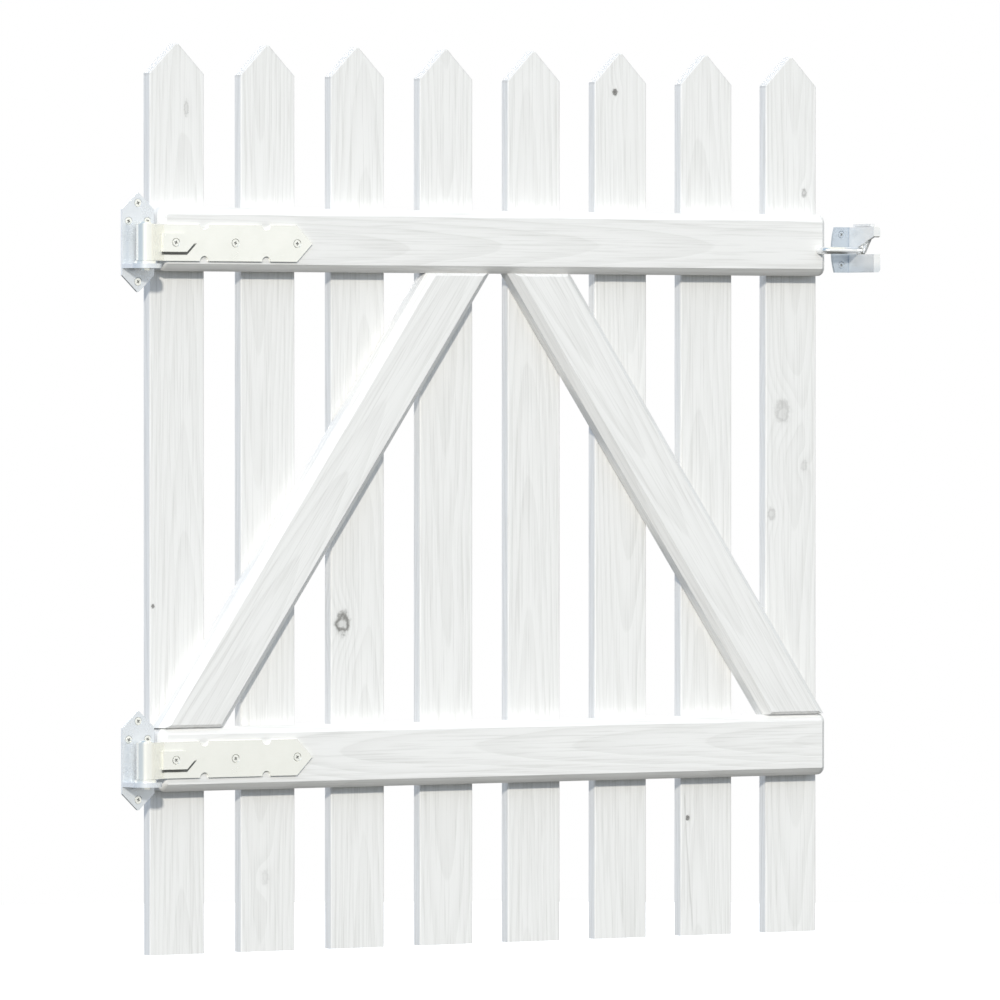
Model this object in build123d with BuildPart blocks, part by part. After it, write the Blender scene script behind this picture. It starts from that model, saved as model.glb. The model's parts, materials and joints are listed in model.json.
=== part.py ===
"""Picket garden gate: a timber leaf on two strap hinges, with a striker bar and a gravity catch.

Millimetres, +Z up. The origin is the centre of the lower hinge plate's back face, where it lies
on the gate post. +X runs from the hinges to the catch and +Y away from the front, so the rails,
braces and ironwork face -Y and the pickets stand behind them.
"""
import math
import os

from build123d import *

os.makedirs("parts", exist_ok=True)

# Pickets
leaf_height = 1000.0          # picket foot to picket tip
leaf_width = 889.0            # outer side of the first picket to that of the last
picket_count = 8
picket_width = 70.0
picket_thickness = 14.0
picket_tip_angle = 45.0       # slope of the pointed top
picket_tip_flat = 4.0         # blunt end of the point
picket_edge_radius = 1.8      # easing along every front and back edge but the foot's

# Rails
rail_width = 70.0
rail_thickness = 24.0
lower_rail_height = 180.0     # picket foot to the lower rail's underside
rail_clear_height = 500.0     # open height between the two rails
rail_bevel = 8.0              # bevel of the front edges
rail_back_radius = 3.0        # easing of the back edges
rail_corner_radius = 9.5      # rounding of the end corners

# Braces
brace_width = 69.0
brace_foot_inset = 1.0        # leaf side to the brace's outer foot corner
brace_top_gap = 24.0          # space between the two brace heads
brace_end_bevel = 3.0         # bevel of the front edges at the sawn ends

# Hinges
plate_width = 40.5
plate_half_height = 55.0
plate_shoulder_height = 36.0
plate_thickness = 3.0
plate_tip_radius = 2.0
plate_screw_radius = 2.75
plate_sink_radius = 4.9       # countersink at the plate's front
plate_end_screw_height = 43.0
plate_pair_screw_height = 23.0
plate_pair_screw_spacing = 24.0
post_gap = 5.75               # hinge plate's side to the leaf's side
plate_gap = 5.0               # hinge plate's front to the strap's back
lower_hinge_drop = 0.0        # lower hinge's centre below its rail's centre line
upper_hinge_drop = 4.0        # upper hinge's centre below its rail's centre line
pin_diameter = 14.0
pin_clearance = 0.05          # radial running clearance in the rolled eye
pin_stand = 2.5               # pin above the rolled eye
pin_chamfer = 1.5
pin_tail_diameter = 10.0
pin_rivet_height = 2.5        # riveted end below the lug
washer_diameter = 24.0
washer_thickness = 3.0
lug_radius = 18.0
lug_thickness = 5.0
seat_gap = 0.3                # moving piece to its seat
sink_angle = 90.0             # included angle of every countersink

# Straps
strap_height = 40.0
strap_thickness = 3.0
strap_length = 219.0          # pin axis to the point
strap_return_angle = 33.0     # slope of the rolled end on its way back to the strap
strap_first_hole = 40.0       # pin axis to the first screw
strap_end_margin = 19.5       # last screw to the point
strap_hole_count = 3
strap_hole_radius = 3.0
strap_sink_radius = 5.0       # countersink at the strap's front
strap_notch_radius = 5.7
tongue_height = 20.0
tongue_thickness = 6.0
tongue_length = 24.0          # first screw to the tongue's point

# Striker bar
bar_diameter = 8.0
bar_inset = 13.0              # rail end to the leg that enters the rail
bar_drop = 6.0                # bar axis below the upper rail's centre line
bar_standoff = 14.0           # bar axis in front of the rail
bar_bend_radius = 9.0
bar_leg_depth = 17.0          # leg inside the rail
bar_overhang = 41.0           # bar end beyond the leaf's side
bar_chamfer = 1.0
drill_clearance = 0.05        # radial clearance of the leg in its hole

# Catch
catch_gap = 9.0               # leaf side to the catch plate
catch_width = 26.0
catch_rise = 27.0             # catch above the bar axis
catch_fall = 25.0             # catch below the bar axis
catch_thickness = 3.0
catch_bow = 4.0               # bulge of the catch plate's free edge
catch_depth = 53.0            # post face to the front of the catch
catch_lip = 6.0               # folded front lip beyond the side wall
catch_corner_radius = 4.0
catch_mouth_height = 16.0     # top of the mouth above the bar axis, at the front
catch_screw_radius = 2.5
catch_sink_radius = 4.4       # countersink at the catch plate's front
catch_screw_spacing = 35.0
bar_clearance = 0.3           # bar to the throat of the mouth

# Dog of the catch
dog_thickness = 3.0
dog_pivot_depth = 7.0         # post face to the pivot
dog_pivot_height = 8.0        # pivot above the bar axis
dog_boss_radius = 6.0
dog_belly_height = 6.0        # underside of the dog above the bar axis
dog_hook_clearance = 0.7      # hook face in front of the bar
dog_hook_fall = 3.0           # hook end below the bar axis
dog_hook_width = 1.5
dog_nose_depth = 40.0         # post face to the nose
dog_nose_height = 13.0        # nose above the bar axis
dog_nose_width = 7.0
dog_tab_start = 12.0          # post face to the stop tab
dog_tab_length = 34.0
rivet_diameter = 6.0
rivet_head_diameter = 11.0
rivet_head_height = 2.0
rivet_clearance = 0.05        # radial running clearance of the dog

# Places that follow from the sizes above
picket_pitch = (leaf_width - picket_width) / (picket_count - 1)
leaf_left = plate_width / 2 + post_gap
leaf_right = leaf_left + leaf_width
leaf_middle = (leaf_left + leaf_right) / 2
rail_front = -(plate_thickness + plate_gap)
rail_back = rail_front + rail_thickness
picket_back = rail_back + picket_thickness
lower_rail_bottom = lower_hinge_drop - rail_width / 2
lower_rail_top = lower_rail_bottom + rail_width
upper_rail_bottom = lower_rail_top + rail_clear_height
picket_foot = lower_rail_bottom - lower_rail_height
hinge_spacing = rail_width + rail_clear_height + lower_hinge_drop - upper_hinge_drop
eye_bore_radius = pin_diameter / 2 + pin_clearance
eye_outer_radius = eye_bore_radius + strap_thickness
pin_y = rail_front - eye_outer_radius
bar_y = rail_front - bar_standoff
bar_z = upper_rail_bottom + rail_width / 2 - bar_drop
hinge_heights = {"lower": 0.0, "upper": hinge_spacing}


def front_plane(y: float) -> Plane:
    """Upright plane at depth y whose normal faces the front."""
    return Plane.XZ.offset(-y)


def save(builder: BuildPart, name: str) -> None:
    """Label a finished piece and write it as its own file."""
    builder.part.label = name
    export_step(builder.part, f"parts/{name}.step")


# Pickets with pointed tops, eased but for the sawn foot
tip_rise = (picket_width - picket_tip_flat) / 2 * math.tan(math.radians(picket_tip_angle))
picket_edge = min(picket_edge_radius, 0.45 * picket_thickness)
for index in range(picket_count):
    picket_left = leaf_left + index * picket_pitch
    picket_right = picket_left + picket_width
    picket_middle = picket_left + picket_width / 2
    picket_tip = picket_foot + leaf_height
    with BuildPart() as picket:
        with BuildSketch(front_plane(picket_back)):
            with BuildLine():
                Polyline(
                    (picket_left, picket_foot),
                    (picket_right, picket_foot),
                    (picket_right, picket_tip - tip_rise),
                    (picket_middle + picket_tip_flat / 2, picket_tip),
                    (picket_middle - picket_tip_flat / 2, picket_tip),
                    (picket_left, picket_tip - tip_rise),
                    close=True,
                )
            make_face()
        extrude(amount=picket_thickness)
        rims = picket.faces().filter_by(Axis.Y).edges().sort_by(Axis.Z)[2:]
        fillet(rims, radius=picket_edge)
    save(picket, f"picket_{index + 1}")

# Rails, bevelled on the front; the upper one is drilled for the striker bar's leg
rail_edge = min(rail_bevel, 0.45 * rail_thickness, 0.3 * rail_width)
rail_corner = max(rail_corner_radius, rail_edge + 0.5)
rail_ease = min(rail_back_radius, 0.3 * rail_thickness)
for name, bottom in (("lower_rail", lower_rail_bottom), ("upper_rail", upper_rail_bottom)):
    with BuildPart() as rail:
        with BuildSketch(front_plane(rail_back)) as outline:
            with Locations((leaf_middle, bottom + rail_width / 2)):
                Rectangle(leaf_width, rail_width)
            fillet(outline.vertices(), radius=rail_corner)
        extrude(amount=rail_thickness)
        chamfer(rail.faces().sort_by(Axis.Y)[0].edges(), length=rail_edge)
        fillet(rail.faces().sort_by(Axis.Y)[-1].edges(), radius=rail_ease)
        if name == "upper_rail":
            with BuildSketch(front_plane(rail_front)):
                with Locations((leaf_right - bar_inset, bar_z)):
                    Circle(bar_diameter / 2 + drill_clearance)
            extrude(amount=-bar_leg_depth, mode=Mode.SUBTRACT)
    save(rail, name)

# Diagonal braces between the rails, cut level at both ends
brace_reach = leaf_middle - brace_top_gap / 2 - leaf_left - brace_foot_inset
brace_lean = math.acos(brace_width / math.hypot(brace_reach, rail_clear_height))
brace_lean -= math.atan2(rail_clear_height, brace_reach)
brace_level_width = brace_width / math.cos(brace_lean)
brace_edge = min(rail_bevel, 0.45 * rail_thickness, 0.3 * brace_width)
for name, side in (("left_brace", -1), ("right_brace", 1)):
    foot_x = leaf_middle + side * (leaf_width / 2 - brace_foot_inset)
    head_x = leaf_middle + side * brace_top_gap / 2
    with BuildPart() as brace:
        with BuildSketch(front_plane(rail_back)):
            with BuildLine():
                Polyline(
                    (foot_x, lower_rail_top),
                    (foot_x - side * brace_level_width, lower_rail_top),
                    (head_x, upper_rail_bottom),
                    (head_x + side * brace_level_width, upper_rail_bottom),
                    close=True,
                )
            make_face()
        extrude(amount=rail_thickness)
        long_front = brace.faces().sort_by(Axis.Y)[0].edges().sort_by(SortBy.LENGTH)[-2:]
        chamfer(long_front, length=brace_edge)
        end_front = brace.faces().sort_by(Axis.Y)[0].edges().sort_by(SortBy.LENGTH)[:2]
        chamfer(end_front, length=min(brace_end_bevel, brace_edge))
        long_back = brace.faces().sort_by(Axis.Y)[-1].edges().sort_by(SortBy.LENGTH)[-2:]
        fillet(long_back, radius=rail_ease)
    save(brace, name)

# Hinges: plate with its lug, riveted pin, washer and rolled strap
plate_front = -plate_thickness
lug_top = -strap_height / 2 - seat_gap - washer_thickness
slope = math.radians(strap_return_angle)
eye_mean_radius = (eye_bore_radius + eye_outer_radius) / 2
strap_front = rail_front - strap_thickness
return_start_x = eye_mean_radius * math.sin(slope)
return_start_y = pin_y - eye_mean_radius * math.cos(slope)
return_length = (strap_front - return_start_y) / math.sin(slope)
tongue_start = return_start_x + return_length * math.cos(slope) - strap_thickness
tongue_end = strap_first_hole + tongue_length
strap_hole_pitch = (strap_length - strap_end_margin - strap_first_hole) / (strap_hole_count - 1)
strap_holes = [strap_first_hole + step * strap_hole_pitch for step in range(strap_hole_count)]

for level, height in hinge_heights.items():
    with BuildPart() as plate:
        with BuildSketch(front_plane(0)) as outline:
            with BuildLine():
                Polyline(
                    (0, height - plate_half_height),
                    (plate_width / 2, height - plate_shoulder_height),
                    (plate_width / 2, height + plate_shoulder_height),
                    (0, height + plate_half_height),
                    (-plate_width / 2, height + plate_shoulder_height),
                    (-plate_width / 2, height - plate_shoulder_height),
                    close=True,
                )
            make_face()
            fillet(outline.vertices().filter_by_position(Axis.X, -1, 1), radius=plate_tip_radius)
        extrude(amount=plate_thickness)
        with Locations(front_plane(plate_front)):
            with Locations(
                (0, height - plate_end_screw_height),
                (0, height + plate_end_screw_height),
                (-plate_pair_screw_spacing / 2, height + plate_pair_screw_height),
                (plate_pair_screw_spacing / 2, height + plate_pair_screw_height),
            ):
                CounterSinkHole(
                    plate_screw_radius, plate_sink_radius, counter_sink_angle=sink_angle
                )
        with BuildSketch(Plane.XY.offset(height + lug_top)):
            with BuildLine():
                Polyline(
                    (-plate_width / 2, plate_front),
                    (plate_width / 2, plate_front),
                    (lug_radius, pin_y),
                    (-lug_radius, pin_y),
                    close=True,
                )
            make_face()
            with Locations((0, pin_y)):
                Circle(lug_radius)
                Circle(pin_tail_diameter / 2, mode=Mode.SUBTRACT)
        extrude(amount=-lug_thickness)
    save(plate, f"{level}_hinge_plate")

    with BuildPart() as pin:
        with BuildSketch(Plane.XY.offset(height + lug_top)):
            with Locations((0, pin_y)):
                Circle(pin_diameter / 2)
        extrude(amount=strap_height / 2 + pin_stand - lug_top)
        chamfer(pin.faces().sort_by(Axis.Z)[-1].edges(), length=pin_chamfer)
        with BuildSketch(Plane.XY.offset(height + lug_top)):
            with Locations((0, pin_y)):
                Circle(pin_tail_diameter / 2)
        extrude(amount=-(lug_thickness + pin_rivet_height))
    save(pin, f"{level}_hinge_pin")

    with BuildPart() as washer:
        with BuildSketch(Plane.XY.offset(height + lug_top)):
            with Locations((0, pin_y)):
                Circle(washer_diameter / 2)
                Circle(eye_bore_radius, mode=Mode.SUBTRACT)
        extrude(amount=washer_thickness)
    save(washer, f"{level}_hinge_washer")

    with BuildPart() as strap:
        with BuildSketch(Plane.XY.offset(height - strap_height / 2)):
            with Locations((0, rail_front)):
                Rectangle(strap_length, strap_thickness, align=(Align.MIN, Align.MAX))
            with Locations(Location((return_start_x, return_start_y), strap_return_angle)):
                Rectangle(return_length, strap_thickness, align=(Align.MIN, Align.CENTER))
            with Locations((0, pin_y)):
                Circle(eye_outer_radius)
                Circle(eye_bore_radius, mode=Mode.SUBTRACT)
        extrude(amount=strap_height)
        with BuildSketch(front_plane(strap_front)):
            with BuildLine():
                Polyline(
                    (tongue_start, height - tongue_height / 2),
                    (tongue_end - tongue_height / 2, height - tongue_height / 2),
                    (tongue_end, height),
                    (tongue_end - tongue_height / 2, height + tongue_height / 2),
                    (tongue_start, height + tongue_height / 2),
                    close=True,
                )
            make_face()
        extrude(amount=tongue_thickness)
        with BuildSketch(front_plane(rail_front)):
            for edge in (-1, 1):
                edge_height = height + edge * strap_height / 2
                with BuildLine():
                    Polyline(
                        (strap_length, height),
                        (strap_length, edge_height),
                        (strap_length - strap_height / 2, edge_height),
                        close=True,
                    )
                make_face()
                for near, far in zip(strap_holes, strap_holes[1:]):
                    with Locations(((near + far) / 2, edge_height)):
                        Circle(strap_notch_radius)
        extrude(amount=strap_thickness, mode=Mode.SUBTRACT)
        screw_faces = [strap_front - tongue_thickness] + [strap_front] * (strap_hole_count - 1)
        for hole, face in zip(strap_holes, screw_faces):
            with Locations(front_plane(face)):
                with Locations((hole, height)):
                    CounterSinkHole(
                        strap_hole_radius, strap_sink_radius, counter_sink_angle=sink_angle
                    )
    save(strap, f"{level}_hinge_strap")

# Striker bar: a round bar whose bent leg is driven into the upper rail
bar_leg_x = leaf_right - bar_inset
bar_end = leaf_right + bar_overhang
with BuildPart() as bar:
    with BuildLine() as bar_path:
        FilletPolyline(
            (bar_leg_x, rail_front + bar_leg_depth, bar_z),
            (bar_leg_x, bar_y, bar_z),
            (bar_end, bar_y, bar_z),
            radius=bar_bend_radius,
        )
    with BuildSketch(Plane.XZ.offset(-(rail_front + bar_leg_depth))):
        with Locations((bar_leg_x, bar_z)):
            Circle(bar_diameter / 2)
    sweep(path=bar_path.line)
    chamfer(bar.faces().sort_by(Axis.X)[-1].edges(), length=bar_chamfer)
save(bar, "striker_bar")

# Catch: folded plate with a screw leaf, a side wall with the mouth, and a front lip
catch_left = leaf_right + catch_gap
catch_right = catch_left + catch_width
wall_left = catch_right - catch_thickness
catch_bottom = bar_z - catch_fall
catch_top = bar_z + catch_rise
catch_front = -catch_depth
throat_radius = bar_diameter / 2 + bar_clearance
dog_pivot_y = -dog_pivot_depth
dog_pivot_z = bar_z + dog_pivot_height
with BuildPart() as catch:
    with BuildSketch(front_plane(0)):
        with BuildLine():
            Polyline(
                (catch_left + catch_bow, catch_bottom),
                (catch_right, catch_bottom),
                (catch_right, catch_top),
                (catch_left + catch_bow, catch_top),
            )
            ThreePointArc(
                (catch_left + catch_bow, catch_top),
                (catch_left, (catch_bottom + catch_top) / 2),
                (catch_left + catch_bow, catch_bottom),
            )
        make_face()
    extrude(amount=catch_thickness)
    with Locations(front_plane(-catch_thickness)):
        with Locations((catch_left + catch_width / 2, (catch_bottom + catch_top) / 2)):
            with GridLocations(1, catch_screw_spacing, 1, 2):
                CounterSinkHole(
                    catch_screw_radius, catch_sink_radius, counter_sink_angle=sink_angle
                )
    with BuildSketch(Plane.XY.offset(catch_bottom)):
        with Locations((catch_right, 0)):
            Rectangle(catch_thickness, catch_depth, align=(Align.MAX, Align.MAX))
        with Locations((wall_left, catch_front)):
            Rectangle(catch_thickness + catch_lip, catch_thickness, align=(Align.MIN, Align.MIN))
    extrude(amount=catch_rise + catch_fall)
    lip_corners = catch.faces().sort_by(Axis.X)[-1].edges().filter_by(Axis.Y)
    fillet(lip_corners, radius=catch_corner_radius)
    with BuildSketch(Plane.YZ.offset(wall_left)):
        with Locations((bar_y, bar_z)):
            Circle(throat_radius)
        with BuildLine():
            Polyline(
                (bar_y, bar_z - throat_radius),
                (catch_front, bar_z - throat_radius),
                (catch_front, bar_z + catch_mouth_height),
                (bar_y, bar_z + throat_radius),
                close=True,
            )
        make_face()
        with Locations((dog_pivot_y, dog_pivot_z)):
            Circle(rivet_diameter / 2)
    extrude(amount=catch_thickness + catch_lip, mode=Mode.SUBTRACT)
save(catch, "latch_bracket")

# Dog: gravity pawl beside the wall, with a hook, a slanted lead-in and a stop tab over the wall
dog_left = catch_right + seat_gap
hook_y = bar_y - bar_diameter / 2 - dog_hook_clearance
tab_bottom = catch_top + seat_gap
tab_back = -dog_tab_start
with BuildPart() as dog:
    with BuildSketch(Plane.YZ.offset(dog_left)):
        with BuildLine():
            Polyline(
                (dog_pivot_y, dog_pivot_z + dog_boss_radius),
                (tab_back, tab_bottom + dog_thickness),
                (tab_back - dog_tab_length, tab_bottom + dog_thickness),
                (-dog_nose_depth, bar_z + dog_nose_height + dog_nose_width),
                (-dog_nose_depth, bar_z + dog_nose_height),
                (hook_y - dog_hook_width, bar_z - dog_hook_fall),
                (hook_y, bar_z - dog_hook_fall),
                (hook_y, bar_z + dog_belly_height),
                (dog_pivot_y, bar_z + dog_belly_height),
                close=True,
            )
        make_face()
        with Locations((dog_pivot_y, dog_pivot_z)):
            Circle(dog_boss_radius)
            Circle(rivet_diameter / 2 + rivet_clearance, mode=Mode.SUBTRACT)
    extrude(amount=dog_thickness)
    with BuildSketch(Plane.XY.offset(tab_bottom)):
        with Locations((wall_left, tab_back)):
            Rectangle(
                dog_left + dog_thickness - wall_left, dog_tab_length, align=(Align.MIN, Align.MAX)
            )
    extrude(amount=dog_thickness)
save(dog, "latch_dog")

# Rivet that carries the dog, set flush in the wall
with BuildPart() as rivet:
    with BuildSketch(Plane.YZ.offset(wall_left)):
        with Locations((dog_pivot_y, dog_pivot_z)):
            Circle(rivet_diameter / 2)
    extrude(amount=catch_thickness + dog_thickness + 2 * seat_gap)
    with BuildSketch(Plane.YZ.offset(dog_left + dog_thickness + seat_gap)):
        with Locations((dog_pivot_y, dog_pivot_z)):
            Circle(rivet_head_diameter / 2)
    extrude(amount=rivet_head_height)
    chamfer(rivet.faces().sort_by(Axis.X)[-1].edges(), length=rivet_head_height / 2)
save(rivet, "latch_rivet")
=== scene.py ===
"""Looks of the white picket gate: painted timber, plated ironwork, screws and a plain white studio.

Metres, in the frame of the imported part: +X from the hinges to the catch, +Y away from the front,
+Z up. The solids keep their shapes; this script dresses them and adds the screws.
"""
from __future__ import annotations

import functools
import json
import logging
import math
from dataclasses import dataclass, field
from enum import Enum
from typing import Any, ClassVar, Iterable, Union

import bpy
from mathutils import Matrix, Vector

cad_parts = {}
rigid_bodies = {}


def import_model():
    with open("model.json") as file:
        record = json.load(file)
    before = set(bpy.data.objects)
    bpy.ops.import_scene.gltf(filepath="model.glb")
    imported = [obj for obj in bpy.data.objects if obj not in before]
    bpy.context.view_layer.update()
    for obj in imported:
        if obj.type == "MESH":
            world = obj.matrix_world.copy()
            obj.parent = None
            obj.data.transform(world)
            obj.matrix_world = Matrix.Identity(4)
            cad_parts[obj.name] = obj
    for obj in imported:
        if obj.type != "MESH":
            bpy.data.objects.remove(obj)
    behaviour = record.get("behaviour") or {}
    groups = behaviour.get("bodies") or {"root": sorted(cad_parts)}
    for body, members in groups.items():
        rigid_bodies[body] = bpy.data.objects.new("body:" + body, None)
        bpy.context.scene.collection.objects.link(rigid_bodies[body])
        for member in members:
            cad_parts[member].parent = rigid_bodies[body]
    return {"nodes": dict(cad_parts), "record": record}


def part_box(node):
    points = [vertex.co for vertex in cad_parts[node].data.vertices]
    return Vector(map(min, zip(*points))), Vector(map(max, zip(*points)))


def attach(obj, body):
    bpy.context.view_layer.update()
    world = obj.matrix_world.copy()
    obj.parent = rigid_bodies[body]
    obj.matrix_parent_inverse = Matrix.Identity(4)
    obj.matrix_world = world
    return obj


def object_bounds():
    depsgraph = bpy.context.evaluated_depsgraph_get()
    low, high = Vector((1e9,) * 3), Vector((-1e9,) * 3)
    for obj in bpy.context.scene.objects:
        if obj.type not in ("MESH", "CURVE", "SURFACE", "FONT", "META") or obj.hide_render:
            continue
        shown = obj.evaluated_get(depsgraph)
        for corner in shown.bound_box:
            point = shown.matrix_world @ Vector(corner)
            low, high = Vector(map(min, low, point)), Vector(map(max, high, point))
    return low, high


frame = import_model()
CAD_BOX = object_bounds()

LOG = logging.getLogger("picket_gate")
MM_PER_M = 1000.0
LEVELS = ("lower", "upper")

Point = tuple[float, float, float]
Colour = tuple[float, float, float, float]
Span = tuple[float, float]

ORIGIN: Point = (0.0, 0.0, 0.0)
PURE_WHITE: Colour = (1.0, 1.0, 1.0, 1.0)


class Body(Enum):
    """Bodies of the gate that screws ride on."""

    POSTS = "post_ironwork"
    LEAF = "leaf"


class Slot(Enum):
    """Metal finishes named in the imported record."""

    HINGE = "hinge_zinc"
    LATCH = "latch_zinc"


class Value:
    """A shader socket that can be used in sums."""

    def __init__(self, graph: "Graph", socket: bpy.types.NodeSocket) -> None:
        """Keep the socket and the graph that it belongs to."""
        self.graph = graph
        self.socket = socket

    def _maths(self, operation: str, *others: "Operand") -> "Value":
        """Add one Math node.

        Args:
            operation: Name of the node's operation.
            others: Its second and third inputs.

        Returns:
            The node's result.
        """
        inputs = dict(enumerate((self, *others)))
        return self.graph.node("ShaderNodeMath", {"operation": operation}, inputs)

    def __add__(self, other: "Operand") -> "Value":
        """Sum of two values."""
        return self._maths("ADD", other)

    def __radd__(self, other: float) -> "Value":
        """Sum with a plain number first."""
        return self._maths("ADD", other)

    def __sub__(self, other: "Operand") -> "Value":
        """Difference of two values."""
        return self._maths("SUBTRACT", other)

    def __rsub__(self, other: float) -> "Value":
        """Plain number less this value."""
        return self.graph.node("ShaderNodeMath", {"operation": "SUBTRACT"}, {0: other, 1: self})

    def __mul__(self, other: "Operand") -> "Value":
        """Product of two values."""
        return self._maths("MULTIPLY", other)

    def __rmul__(self, other: float) -> "Value":
        """Product with a plain number first."""
        return self._maths("MULTIPLY", other)

    def __truediv__(self, other: "Operand") -> "Value":
        """Quotient of two values."""
        return self._maths("DIVIDE", other)

    def root(self) -> "Value":
        """Square root."""
        return self._maths("SQRT")

    def fraction(self) -> "Value":
        """Part after the decimal point."""
        return self._maths("FRACT")

    def most(self, other: "Operand") -> "Value":
        """Larger of two values."""
        return self._maths("MAXIMUM", other)

    def falloff(self) -> "Value":
        """Bell curve, 1 where the value is 0."""
        return (self * self * -1.0)._maths("EXPONENT")

    def step(self, low: float, high: float) -> "Value":
        """Smooth rise from 0 to 1.

        Args:
            low: Value where the rise starts.
            high: Value where it ends.

        Returns:
            The smooth step.
        """
        return self.graph.node(
            "ShaderNodeMapRange",
            {"interpolation_type": "SMOOTHSTEP"},
            {"Value": self, "From Min": low, "From Max": high},
        )


Operand = Union[Value, float]


@dataclass(frozen=True)
class Noise:
    """Cells for each unit of the coordinates, octaves and weight of the finer octaves."""

    scale: float
    detail: float
    rough: float = 0.5


class Graph:
    """Shader node tree, grown by one method."""

    FIRST_COLOUR = 6
    SECOND_COLOUR = 7
    MIXED_COLOUR = 2
    NOISE_MEAN = 0.5

    def __init__(self, name: str) -> None:
        """Start an empty material.

        Args:
            name: Name of the material.
        """
        self.material = bpy.data.materials.new(name)
        self.material.use_nodes = True
        self.tree = self.material.node_tree
        self.tree.nodes.clear()

    @classmethod
    def within(cls, tree: bpy.types.NodeTree) -> "Graph":
        """Graph that grows in a given tree, such as the world's.

        Args:
            tree: The tree, which is emptied.

        Returns:
            The graph, which has no material of its own.
        """
        graph = cls.__new__(cls)
        graph.material = None
        graph.tree = tree
        tree.nodes.clear()
        return graph

    def node(
        self,
        kind: str,
        settings: dict[str, Any] | None = None,
        inputs: dict[Union[str, int], Any] | None = None,
        output: Union[str, int] = 0,
    ) -> Value:
        """Add any node.

        Args:
            kind: Blender's name of the node type.
            settings: Properties of the node, set first.
            inputs: Values or links of its sockets, by name or number.
            output: Socket that the result is read from.

        Returns:
            The chosen output.
        """
        made = self.tree.nodes.new(kind)
        for key, setting in (settings or {}).items():
            setattr(made, key, setting)
        for key, given in (inputs or {}).items():
            if isinstance(given, Value):
                self.tree.links.new(given.socket, made.inputs[key])
            else:
                made.inputs[key].default_value = given
        return Value(self, made.outputs[output])

    def mix(self, share: Operand, first: Any, second: Any) -> Value:
        """Blend two colours.

        Args:
            share: How much of the second colour shows.
            first: Colour at share 0.
            second: Colour at share 1.

        Returns:
            The blended colour.
        """
        return self.node(
            "ShaderNodeMix",
            {"data_type": "RGBA"},
            {"Factor": share, self.FIRST_COLOUR: first, self.SECOND_COLOUR: second},
            output=self.MIXED_COLOUR,
        )

    def noise(self, where: Value, kind: Noise) -> Value:
        """Seamless noise.

        Args:
            where: Coordinates.
            kind: Size and detail of the noise.

        Returns:
            Values about one half.
        """
        return self.node(
            "ShaderNodeTexNoise",
            {"noise_dimensions": "3D"},
            {"Vector": where, "Scale": kind.scale, "Detail": kind.detail, "Roughness": kind.rough},
        )

    def wobble(self, where: Value, kind: Noise) -> Value:
        """Seamless noise about zero."""
        return self.noise(where, kind) - self.NOISE_MEAN

    def parts(self, where: Value) -> tuple[Value, Value, Value]:
        """Split coordinates.

        Args:
            where: Coordinates.

        Returns:
            Their x, y and z.
        """
        split = self.tree.nodes.new("ShaderNodeSeparateXYZ")
        self.tree.links.new(where.socket, split.inputs[0])
        return tuple(Value(self, socket) for socket in split.outputs)

    def join(self, x: Operand, y: Operand, z: Operand) -> Value:
        """Coordinates made of three values."""
        return self.node("ShaderNodeCombineXYZ", None, {0: x, 1: y, 2: z})

    def placed(self, centre: Point, turn: float = 0.0) -> Value:
        """Object coordinates about a centre, turned about Y.

        Args:
            centre: Point that becomes the zero.
            turn: Angle of the local upright axis from Z towards X.

        Returns:
            The local coordinates.
        """
        coords = self.node("ShaderNodeTexCoord", output="Object")
        return self.node(
            "ShaderNodeMapping",
            {"vector_type": "TEXTURE"},
            {"Vector": coords, "Location": centre, "Rotation": (0.0, turn, 0.0)},
        )

    def bump(self, height: Value, strength: float, distance: float) -> Value:
        """Normals of a finely uneven surface.

        Args:
            height: Height of the surface, as a share of the distance.
            strength: How much of the unevenness shows.
            distance: Greatest height.

        Returns:
            The normals.
        """
        sockets = {"Strength": strength, "Distance": distance, "Height": height}
        return self.node("ShaderNodeBump", None, sockets)

    def surface(self, sockets: dict[str, Any]) -> bpy.types.Material:
        """Finish the material with a Principled shader.

        Args:
            sockets: Values or links of the shader's sockets.

        Returns:
            The finished material.
        """
        shader = self.node("ShaderNodeBsdfPrincipled", None, sockets)
        result = self.tree.nodes.new("ShaderNodeOutputMaterial")
        self.tree.links.new(shader.socket, result.inputs["Surface"])
        return self.material


@dataclass(frozen=True)
class BoardSpace:
    """Coordinates in one board: across its face, through it and along its grain."""

    graph: Graph
    local: Value
    across: Value
    depth: Value
    along: Value
    seed: float

    def drawn_out(self, share: float) -> Value:
        """Coordinates for noise that is drawn out along the grain, more so for a smaller share."""
        return self.graph.join(self.across, self.depth, self.along * share + self.seed)


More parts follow.
